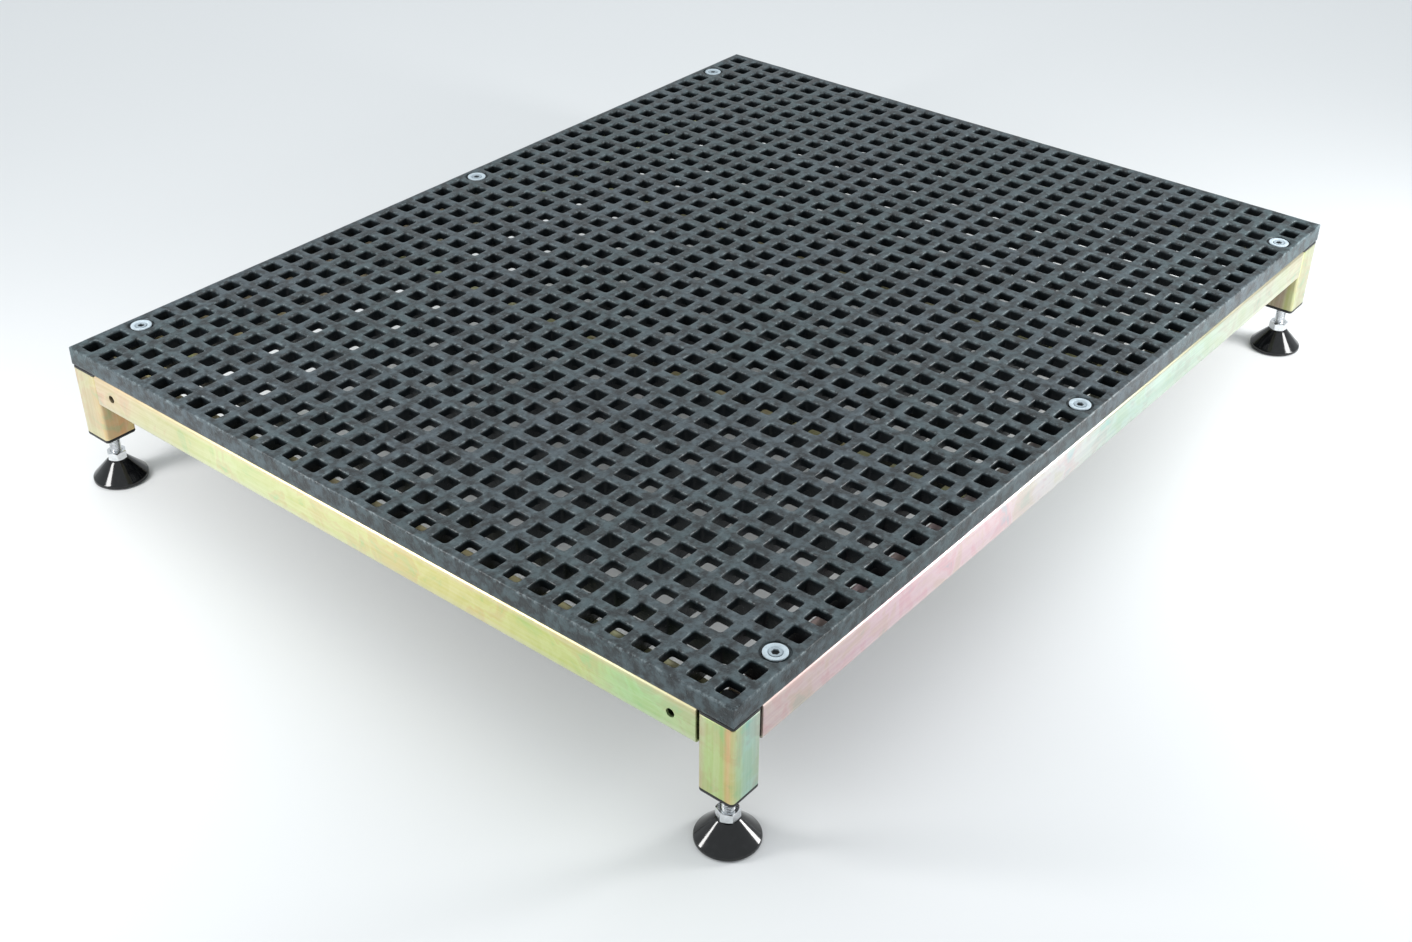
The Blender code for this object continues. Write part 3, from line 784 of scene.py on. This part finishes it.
def make_leg_insert(corner, finish):
    """Flanged plug in the foot of a leg, bored for the threaded bush."""
    low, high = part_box("leg_insert_" + corner)
    leg_low, leg_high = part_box("leg_" + corner)
    bush_low, bush_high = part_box("thread_bush_" + corner)
    centre = (leg_low + leg_high) / 2
    half = (leg_high.x - leg_low.x) / 2
    plug = half - TUBE_WALL - GAP
    rim = leg_low.z - GAP
    bore = (bush_high.x - bush_low.x) / 2 + GAP
    squares = (
        (plug - PLUG_TAPER, PLUG_CORNER, high.z), (plug, PLUG_CORNER, high.z - PLUG_TAPER_LENGTH),
        (plug, PLUG_CORNER, rim), (half - 0.15 * MM, TUBE_CORNER, rim),
        (half, TUBE_CORNER, rim - 0.2 * MM), (half, TUBE_CORNER, low.z + 0.8 * MM),
        (half - 0.25 * MM, TUBE_CORNER, low.z + 0.25 * MM), (half - 0.8 * MM, TUBE_CORNER, low.z),
    )
    circles = (
        (bore + 1.6 * MM, low.z), (bore + 1.3 * MM, low.z + 0.4 * MM), (bore, low.z + 0.4 * MM),
    )
    loops = [leg_circle(centre, bore, high.z)]
    loops += [leg_square(centre, *step) for step in squares]
    loops += [leg_circle(centre, *step) for step in circles]
    builder = bmesh.new()
    skin(builder, loops, closed=True)
    piece_from("insert_" + corner, builder, finish, "platform", "leg_insert_" + corner)


BUSH_BORE = 4.3 * MM
BUSH_GROOVES = 6
BUSH_GROOVE_DEPTH = 0.35 * MM
BUSH_PLAIN_END = 1.5 * MM


def make_thread_bush(corner, finish):
    """Turned bush with grooves round it, which hold it in the plastic insert."""
    low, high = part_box("thread_bush_" + corner)
    centre = (low + high) / 2
    outer = (high.x - low.x) / 2
    profile = [
        (BUSH_BORE, low.z + 0.5 * MM), (BUSH_BORE + 0.5 * MM, low.z), (outer - 0.3 * MM, low.z),
        (outer, low.z + 0.3 * MM),
    ]
    step = (high.z - low.z - 2 * BUSH_PLAIN_END) / BUSH_GROOVES
    for groove in range(BUSH_GROOVES):
        z = low.z + BUSH_PLAIN_END + groove * step
        bottom = outer - BUSH_GROOVE_DEPTH
        profile += [(outer, z), (bottom, z + step * 0.25), (bottom, z + step * 0.5), (outer, z + step * 0.75)]
    profile += [
        (outer, high.z - 0.3 * MM), (outer - 0.3 * MM, high.z), (BUSH_BORE + 0.5 * MM, high.z),
        (BUSH_BORE, high.z - 0.5 * MM),
    ]
    builder = bmesh.new()
    turned(builder, centre, profile, 32, closed=True)
    piece_from("bush_" + corner, builder, finish, "platform", "thread_bush_" + corner)


def make_leg_plugs(plastic, metal):
    for corner in CORNERS:
        make_leg_cap(corner, plastic)
        make_leg_insert(corner, plastic)
        make_thread_bush(corner, metal)


# Feet

THREAD_PITCH = 1.25 * MM
THREAD_MAJOR = 4.0 * MM
THREAD_MINOR = 3.32 * MM
THREAD_TURN = 28


def add_thread(builder, centre, low, high, major, minor, pitch):
    """An outside thread as a spiral skin, capped at both ends."""
    shape = ((0.00, major), (0.13, major), (0.50, minor), (0.63, minor))
    turns = math.ceil((high - low) / pitch) + 1
    rows = []
    for row in range(turns * len(shape) + 1):
        share, radius = shape[row % len(shape)]
        base = row // len(shape) + share - 1
        line = []
        for step in range(THREAD_TURN + 1):
            z = low + (base + step / THREAD_TURN) * pitch
            clipped = min(max(z, low), high)
            tip = min(high - clipped, clipped - low)
            size = min(radius, major - 0.9 * MM + tip) if tip < 0.9 * MM else radius
            angle = 2 * math.pi * step / THREAD_TURN
            line.append(builder.verts.new(
                (centre.x + size * math.cos(angle), centre.y + size * math.sin(angle), clipped)))
        rows.append(line)
    for under, over in zip(rows, rows[1:]):
        for step in range(THREAD_TURN):
            builder.faces.new((under[step], under[step + 1], over[step + 1], over[step]))
    bmesh.ops.remove_doubles(builder, verts=builder.verts, dist=1e-7)
    bmesh.ops.dissolve_degenerate(builder, edges=builder.edges, dist=1e-7)
    bmesh.ops.holes_fill(builder, edges=[edge for edge in builder.edges if edge.is_boundary])


def add_nut(builder, centre, low, high, flats, bore):
    """A hex nut: flats cut back by a 30 degree chamfer, and a countersunk bore."""
    count = 72
    flat_radius = flats / 2
    chamfer_start = flat_radius * 0.96
    slope = math.tan(math.radians(30))

    def hexagon(index):
        turn = 2 * math.pi * index / count
        within = (turn + math.pi / 6) % (math.pi / 3) - math.pi / 6
        return flat_radius / math.cos(math.pi / 6 - abs(within))

    loops = []
    steps = [
        ("ring", bore, low + 0.4 * MM), ("ring", bore + 0.4 * MM, low), ("ring", chamfer_start, low),
        ("side", low, 1), ("side", high, -1),
        ("ring", chamfer_start, high), ("ring", bore + 0.4 * MM, high), ("ring", bore, high - 0.4 * MM),
    ]
    for step in steps:
        loop = []
        for index in range(count):
            turn = 2 * math.pi * index / count
            if step[0] == "ring":
                radius, z = step[1], step[2]
            else:
                radius = hexagon(index)
                z = step[1] + step[2] * (radius - chamfer_start) * slope
            loop.append((centre.x + radius * math.cos(turn), centre.y + radius * math.sin(turn), z))
        loops.append(loop)
    skin(builder, loops, closed=True)


NEAR_AXIS = 0.2 * MM
PAD_RIM = 2.3 * MM
PAD_ROUNDING = 0.7 * MM
PAD_NECK = 3.8 * MM
BALL_MIDDLE = 9.8 * MM
BALL_RADIUS = 3.88 * MM
BALL_SEAT = 4.2 * MM
BALL_SEAT_BOTTOM = 5.6 * MM
SOLE_GROOVES = 5
SOLE_GROOVE_STEP = 3.0 * MM
SOLE_GROOVE_DEPTH = 0.6 * MM
STUD_NECK = 2.6 * MM


def make_foot_pad(corner, finish):
    """Cone with a straight rim, a recess for the sole below, and a socket for the stud's ball."""
    low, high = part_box("foot_pad_" + corner)
    sole_low, sole_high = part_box("foot_sole_" + corner)
    radius = (high.x - low.x) / 2
    recess_radius = (sole_high.x - sole_low.x) / 2 + GAP
    recess = sole_high.z + GAP
    rim, top = low.z, high.z
    underside = [(NEAR_AXIS, recess), (recess_radius, recess)]
    outside = rounded([
        (recess_radius, rim), (radius, rim), (radius, rim + PAD_RIM),
        (radius - 1.2 * MM, rim + PAD_RIM + 1.2 * MM), (7.9 * MM, top - 0.9 * MM), (6.9 * MM, top),
        (PAD_NECK, top),
    ], PAD_ROUNDING, 5)
    socket = [
        (3.1 * MM, top - 2.5 * MM), (BALL_SEAT, BALL_MIDDLE), (BALL_SEAT, BALL_SEAT_BOTTOM),
        (NEAR_AXIS, BALL_SEAT_BOTTOM),
    ]
    builder = bmesh.new()
    turned(builder, (low + high) / 2, underside + outside + socket, 112)
    piece_from("pad_" + corner, builder, finish, "foot_" + corner, "foot_pad_" + corner, 50)


def make_foot_sole(corner, finish):
    """Rubber disc with ring grooves in its underside."""
    low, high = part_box("foot_sole_" + corner)
    radius = (high.x - low.x) / 2
    profile = [(NEAR_AXIS, low.z)]
    for ring in range(SOLE_GROOVES):
        inner = SOLE_GROOVE_STEP + ring * SOLE_GROOVE_STEP
        profile += [
            (inner, low.z), (inner + 0.25 * MM, low.z + SOLE_GROOVE_DEPTH),
            (inner + 0.75 * MM, low.z + SOLE_GROOVE_DEPTH), (inner + 1.0 * MM, low.z),
        ]
    profile += [
        (radius - 0.6 * MM, low.z), (radius - 0.15 * MM, low.z + 0.2 * MM), (radius, low.z + 0.7 * MM),
        (radius, high.z), (NEAR_AXIS, high.z),
    ]
    builder = bmesh.new()
    turned(builder, middle_of("foot_pad_" + corner), profile, 64)
    piece_from("sole_" + corner, builder, finish, "foot_" + corner, "foot_sole_" + corner)


def make_foot_stud(corner, finish):
    """Threaded stud, with a neck and a ball that sit in the pad."""
    stud_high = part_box("foot_stud_" + corner)[1]
    nut_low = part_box("foot_nut_" + corner)[0]
    centre = middle_of("foot_pad_" + corner)
    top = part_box("foot_pad_" + corner)[1].z
    ball = []
    for degrees in range(-60, 48, 12):
        turn = math.radians(degrees)
        ball.append((BALL_RADIUS * math.cos(turn), BALL_MIDDLE + BALL_RADIUS * math.sin(turn)))
    neck = [(STUD_NECK, top - 2.4 * MM), (STUD_NECK, top - 0.6 * MM), (3.2 * MM, nut_low.z + 0.6 * MM)]
    builder = bmesh.new()
    add_thread(builder, centre, nut_low.z, stud_high.z, THREAD_MAJOR, THREAD_MINOR, THREAD_PITCH)
    turned(builder, centre, ball + neck, 40)
    piece_from("stud_" + corner, builder, finish, "stud_" + corner, "foot_stud_" + corner)


def make_foot_nut(corner, finish):
    low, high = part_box("foot_nut_" + corner)
    centre = middle_of("foot_pad_" + corner)
    builder = bmesh.new()
    add_nut(builder, centre, low.z, high.z, high.y - low.y, THREAD_MAJOR + 0.15 * MM)
    piece_from("nut_" + corner, builder, finish, "stud_" + corner, "foot_nut_" + corner, 30)


def make_feet(gloss, rubber, stud_metal, nut_metal):
    for corner in CORNERS:
        make_foot_pad(corner, gloss)
        make_foot_sole(corner, rubber)
        make_foot_stud(corner, stud_metal)
        make_foot_nut(corner, nut_metal)


# Deck fixings

WASHER_THICKNESS = 1.2 * MM
WASHER_BORE = 2.9 * MM
SOCKET_RADIUS = 2.55 * MM
SOCKET_DEPTH = 1.5 * MM
SOCKET_LOBES = 6
SCREW_POINTS = 72
SCREW_MAJOR = 2.45 * MM
SCREW_MINOR = 2.05 * MM
SCREW_PITCH = 0.8 * MM
SCREW_SHANK = 2.4 * MM
RIVET_BORE = 2.8 * MM
RIVET_BODY = 3.4 * MM
RIVET_FLANGE = 5.0 * MM


def make_washer(number, finish):
    """Washer with a dished middle that takes the screw's countersunk head."""
    low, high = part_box(f"deck_washer_{number}")
    radius = (high.x - low.x) / 2
    top = high.z
    flat_low = top - WASHER_THICKNESS
    outside = rounded([
        (WASHER_BORE, top - 2.3 * MM), (4.75 * MM, top - 0.25 * MM), (5.3 * MM, top), (radius, top),
        (radius, flat_low), (5.6 * MM, flat_low),
    ], 0.35 * MM, 4)
    builder = bmesh.new()
    turned(builder, (low + high) / 2, outside + [(WASHER_BORE, low.z)], 72, closed=True)
    piece_from(f"washer_{number}", builder, finish, "platform", f"deck_washer_{number}", 50)


def lobed_loop(centre, radius, z):
    """A circle drawn in by six shallow lobes, as the screw's socket is."""
    loop = []
    for index in range(SCREW_POINTS):
        turn = 2 * math.pi * index / SCREW_POINTS
        lobed = radius * (1 - 0.11 * (1 - math.cos(SOCKET_LOBES * turn)) / 2)
        loop.append((centre.x + lobed * math.cos(turn), centre.y + lobed * math.sin(turn), z))
    return loop


def make_screw(number, finish):
    """Countersunk screw with a lobed socket."""
    low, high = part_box(f"deck_screw_{number}")
    centre = middle_of(f"deck_washer_{number}")
    head_top = high.z
    thread_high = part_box(f"deck_washer_{number}")[1].z - 2.4 * MM
    head = (
        (1.2 * MM, thread_high), (SCREW_SHANK, thread_high), (4.05 * MM, head_top - 0.35 * MM),
        (3.95 * MM, head_top),
    )
    socket = (
        (SOCKET_RADIUS + 0.15 * MM, head_top), (SOCKET_RADIUS, head_top - 0.15 * MM),
        (SOCKET_RADIUS, head_top - SOCKET_DEPTH),
    )
    loops = [round_loop(centre, radius, z, SCREW_POINTS) for radius, z in head]
    loops += [lobed_loop(centre, radius, z) for radius, z in socket]
    loops.append(round_loop(centre, 0.3 * MM, head_top - SOCKET_DEPTH - 0.25 * MM, SCREW_POINTS))
    builder = bmesh.new()
    skin(builder, loops, closed=False)
    add_thread(builder, centre, low.z, thread_high, SCREW_MAJOR, SCREW_MINOR, SCREW_PITCH)
    piece_from(f"screw_{number}", builder, finish, "platform", f"deck_screw_{number}")


def make_rivet_nut(number, finish):
    """Flanged rivet nut, bulged where it grips the rail's wall."""
    low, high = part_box(f"rivet_nut_{number}")
    flange = high.z - 0.8 * MM
    bulge = RAIL_TOP - TUBE_WALL - GAP
    outside = rounded([
        (RIVET_BORE, low.z), (RIVET_BODY, low.z), (RIVET_BODY + 0.05 * MM, bulge - 4.0 * MM),
        (4.6 * MM, bulge - 0.8 * MM), (RIVET_BODY, bulge), (RIVET_BODY, flange), (RIVET_FLANGE, flange),
        (RIVET_FLANGE, high.z), (RIVET_BORE, high.z),
    ], 0.3 * MM, 3)
    builder = bmesh.new()
    turned(builder, middle_of(f"deck_washer_{number}"), outside, 40, closed=True)
    piece_from(f"rivet_{number}", builder, finish, "platform", f"rivet_nut_{number}")


def make_fixings(washer_metal, screw_metal, steel):
    for number in FIXINGS:
        make_washer(number, washer_metal)
        make_screw(number, screw_metal)
        make_rivet_nut(number, steel)


# Studio and camera

FLOOR_HALF = 8.0


def softbox(name, place, aim, width, height, power, colour):
    """An area light at a place, turned to face the aim."""
    light = bpy.data.lights.new(name, "AREA")
    light.shape = "RECTANGLE"
    light.size = width
    light.size_y = height
    light.energy = power
    light.color = colour
    holder = bpy.data.objects.new(name, light)
    holder.location = place
    holder.rotation_euler = (Vector(aim) - Vector(place)).to_track_quat("-Z", "Y").to_euler()
    bpy.context.scene.collection.objects.link(holder)


def make_studio():
    """Pale floor, even daylight all round, and three softboxes."""
    builder = bmesh.new()
    bmesh.ops.create_grid(builder, x_segments=1, y_segments=1, size=FLOOR_HALF)
    floor = object_from("studio_floor", builder)
    floor.data.materials.append(floor_paint())

    world = bpy.data.worlds.new("studio")
    bpy.context.scene.world = world
    world.use_nodes = True
    background = world.node_tree.nodes["Background"]
    background.inputs["Color"].default_value = (0.925, 0.975, 1.0, 1.0)
    background.inputs["Strength"].default_value = 0.765

    middle = (0.0, 0.0, 0.08)
    cool = (0.95, 0.98, 1.0)
    softbox("overhead", (0.35, 0.30, 2.3), middle, 3.0, 3.0, 13.4, cool)
    softbox("left_strip", (-0.86, 0.40, 0.42), middle, 0.16, 0.36, 4.0, (1.0, 0.99, 0.98))
    softbox("right_strip", (0.46, -0.76, 0.30), middle, 0.24, 0.34, 5.8, (1.0, 1.0, 0.99))


def make_camera():
    """The photograph's viewpoint: heading is from +X towards +Y, and pitch is down."""
    lens_data = bpy.data.cameras.new("photo_camera")
    lens_data.sensor_width = 36.0
    lens_data.lens = 44.46
    lens_data.shift_x = 0.00425
    lens_data.shift_y = -0.0039
    lens_data.clip_start = 0.02
    lens_data.clip_end = 40.0
    camera = bpy.data.objects.new("photo_camera", lens_data)
    heading, pitch, roll = math.radians(39.264), math.radians(33.539), math.radians(0.272)
    turn = Matrix.Rotation(heading - math.pi / 2, 4, "Z")
    tilt = Matrix.Rotation(math.pi / 2 - pitch, 4, "X")
    camera.matrix_world = (
        Matrix.Translation((-0.93374, -0.72907, 0.72867)) @ turn @ tilt @ Matrix.Rotation(roll, 4, "Z"))
    bpy.context.scene.collection.objects.link(camera)
    bpy.context.scene.camera = camera


ALONG_X = (1.0, 0.0, 0.0)
ALONG_Y = (0.0, 1.0, 0.0)
ROUND_LEG = (1.0, -1.0, 0.0)


def frame_finishes():
    """Plating tints of each tube, read along it, and round the visible corner of each leg, with painted light
    and shade in some of them.
    """
    finishes = {
        "left_rail": zinc_plating("zinc_left_rail", "Y", ALONG_Y, [
            (-0.28, (188, 206, 156)), (-0.22, (182, 218, 164)), (-0.16, (206, 216, 146)),
            (-0.08, (218, 214, 152)), (0.02, (212, 216, 162)), (0.12, (206, 216, 170)),
            (0.20, (198, 198, 160)), (0.28, (204, 186, 160))], painted_top_highlight_amount=0.62, painted_foot_reflection_amount=0.4),
        # The front rail's far half has darker tints: painted shade that offsets the right-hand lamp there.
        "front_rail": zinc_plating("zinc_front_rail", "X", ALONG_X, [
            (-0.36, (204, 184, 188)), (-0.24, (216, 190, 204)), (-0.15, (222, 198, 210)),
            (-0.04, (196, 196, 202)), (0.06, (162, 186, 182)), (0.16, (156, 178, 170)),
            (0.27, (162, 172, 160)), (0.36, (172, 176, 154)),
        ], painted_top_highlight_amount=0.1, painted_foot_reflection_amount=0.2, painted_shade_from=-0.06),
        "right_rail": zinc_plating("zinc_right_rail", "Y", ALONG_Y, [
            (-0.28, (212, 208, 146)), (-0.10, (204, 216, 160)), (0.08, (218, 204, 168)),
            (0.28, (196, 212, 156))]),
        "rear_rail": zinc_plating("zinc_rear_rail", "X", ALONG_X, [
            (-0.36, (210, 204, 142)), (-0.12, (212, 192, 172)), (0.12, (194, 214, 180)),
            (0.36, (212, 210, 150))]),
        # Cross-member tints are darkened as painted shade under the deck.
        "cross": zinc_plating("zinc_cross_members", "Y", ALONG_Y, [
            (-0.28, (128, 130, 94)), (-0.05, (136, 130, 96)), (0.28, (126, 132, 98)),
        ], painted_top_highlight_amount=0.1, painted_foot_reflection_amount=0.1),
    }
    # Leg tints are partly plating colour and partly painted light and shade: the front-right leg's -X face is
    # darkened as painted shade, and the rear-left leg's front face is lightened as painted light.
    leg_tints = {
        "leg_front_left": ((-1, -1), [
            (-25, (198, 194, 164)), (-17, (190, 212, 152)), (-8, (187, 207, 139)), (-3, (216, 190, 138)),
            (1, (205, 203, 149)), (6, (178, 206, 166)), (13, (162, 200, 190)), (25, (174, 193, 178))]),
        "leg_rear_left": ((-1, -1), [
            (-25, (200, 194, 166)), (-12, (194, 190, 156)), (-2, (204, 194, 156)), (3, (214, 196, 150)),
            (8, (212, 182, 130)), (16, (222, 186, 136)), (25, (226, 200, 142))]),
        "leg_front_right": ((-1, -1), [
            (-25, (150, 142, 112)), (-12, (158, 142, 132)), (-5, (172, 176, 124)), (0, (176, 184, 132)),
            (6, (168, 174, 144)), (16, (170, 175, 150)), (25, (174, 178, 156))]),
        "leg_rear_right": ((1, 1), [
            (-25, (200, 206, 146)), (-8, (206, 196, 150)), (8, (188, 206, 164)), (25, (206, 200, 146))]),
    }
    for node, ((side_x, side_y), tints) in leg_tints.items():
        low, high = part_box(node)
        corner_x = low.x if side_x < 0 else high.x
        corner_y = low.y if side_y < 0 else high.y
        stops = [(corner_x - corner_y + offset * MM, colour) for offset, colour in tints]
        finishes[node] = zinc_plating(
            "zinc_" + node, "Z", ROUND_LEG, stops, painted_top_highlight_amount=0.0, painted_foot_reflection_amount=0.0)
    return finishes


make_grating(grating_plastic())
make_frame(frame_finishes())
make_leg_plugs(
    moulded_plastic("satin_black_plastic", (0.014, 0.014, 0.015), 0.42, 1400.0, 0.0001),
    bright_zinc("turned_brass", display(214, 178, 104), 0.30),
)
make_feet(
    moulded_plastic("gloss_black_plastic", (0.0040, 0.0043, 0.0050), 0.09, 90.0, 0.00005),
    moulded_plastic("foot_rubber", (0.022, 0.022, 0.023), 0.80, 1800.0, 0.0002),
    bright_zinc("bright_zinc_thread", (0.80, 0.82, 0.84), 0.20),
    bright_zinc("bright_zinc_nut", (0.82, 0.84, 0.86), 0.16),
)
make_fixings(
    bright_zinc("satin_zinc_washer", (0.55, 0.64, 0.70), 0.66, metallic=0.15),
    bright_zinc("zinc_screw", (0.38, 0.45, 0.50), 0.60, metallic=0.15, dark_below=SCREW_TOP - 0.2 * MM),
    bright_zinc("plated_steel", (0.60, 0.60, 0.62), 0.32),
)
make_studio()
make_camera()
bpy.context.scene.view_settings.view_transform = "Standard"
